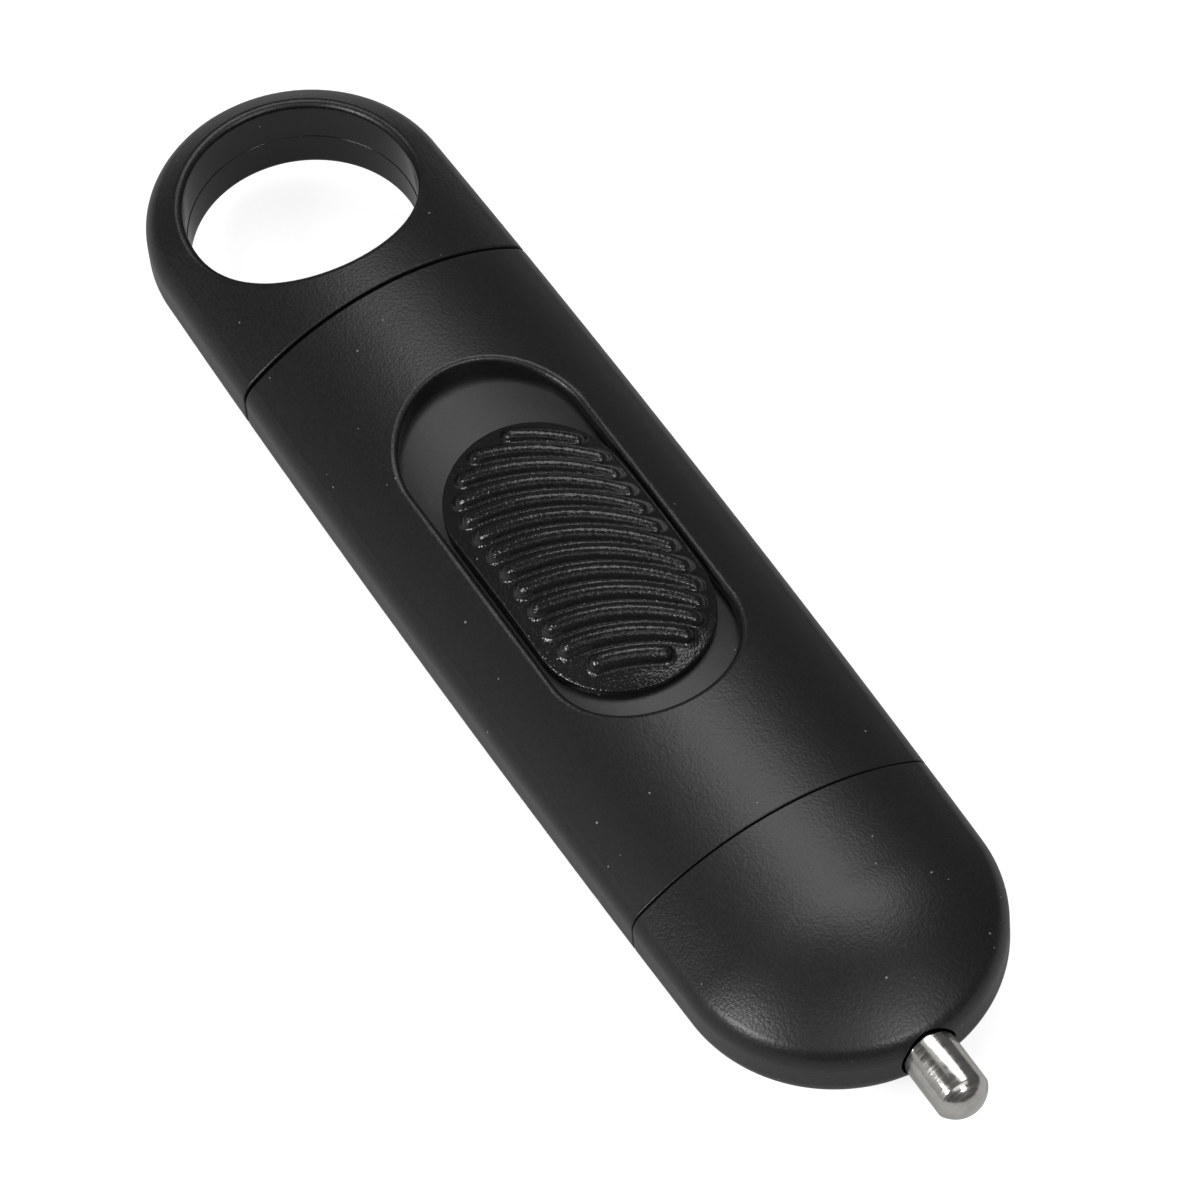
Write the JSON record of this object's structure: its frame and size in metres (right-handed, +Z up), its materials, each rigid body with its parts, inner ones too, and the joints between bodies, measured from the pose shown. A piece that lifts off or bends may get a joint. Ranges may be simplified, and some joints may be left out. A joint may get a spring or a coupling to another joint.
{
  "type": "handheld security tag detacher",
  "caption": "Handheld security tag detacher: oval black grip with finger ring, ribbed thumb slider and a sprung steel pin that slides out of the domed nose.",
  "frame": {"origin": "centre of the ring hole, on the mid-plane of the grip, which is also the height of the pin's axis", "axes": "+X from the ring to the nose along the pin, +Z up through the thumb slider, +Y to the left when looking from the ring to the nose. Drawn with the pin out, where the spring holds it."},
  "size_m": [0.1251, 0.03, 0.0168],
  "materials": {
    "grip_plastic": "satin, fine spark-eroded grain, black",
    "slider_plastic": "satin, slightly glossier than the grip, black",
    "inner_plastic": "moulded, mid grey",
    "pin_steel": "turned and polished",
    "rod_steel": "ground",
    "spring_steel": "drawn wire",
    "screw_steel": "blackened",
    "magnet_nickel": "nickel plated",
    "bush_bronze": "sintered, matt",
    "stop_rubber": "moulded, black"
  },
  "bodies": {
    "housing": {"ring_cap": "grip_plastic", "sleeve": "grip_plastic", "nose_cap": "grip_plastic", "chassis": "inner_plastic", "front_bulkhead": "inner_plastic", "guide_rod_left": "rod_steel", "guide_rod_right": "rod_steel", "spring_rod": "rod_steel", "return_spring": "spring_steel", "ring_cap_screw": "screw_steel", "nose_cap_screw": "screw_steel", "bulkhead_screws": "screw_steel", "pin_bush": "bush_bronze", "pin_wiper": "stop_rubber", "rear_bumper": "stop_rubber", "front_bumper": "stop_rubber"},
    "slide": {"thumb_slider": "slider_plastic", "carriage": "inner_plastic", "magnet_cover": "inner_plastic", "cover_screws": "screw_steel", "detaching_pin": "pin_steel", "retaining_ring": "spring_steel", "front_magnet": "magnet_nickel", "rear_magnet": "magnet_nickel", "pole_plate": "rod_steel"}
  },
  "joints": [
    {"name": "pin_slide", "type": "slide", "parent": "housing", "child": "slide", "axis": [1, 0, 0], "range_m": [-0.007, 0], "stiffness_N_per_m": 660, "springref_m": 0.003, "deforming": ["return_spring"]}
  ]
}
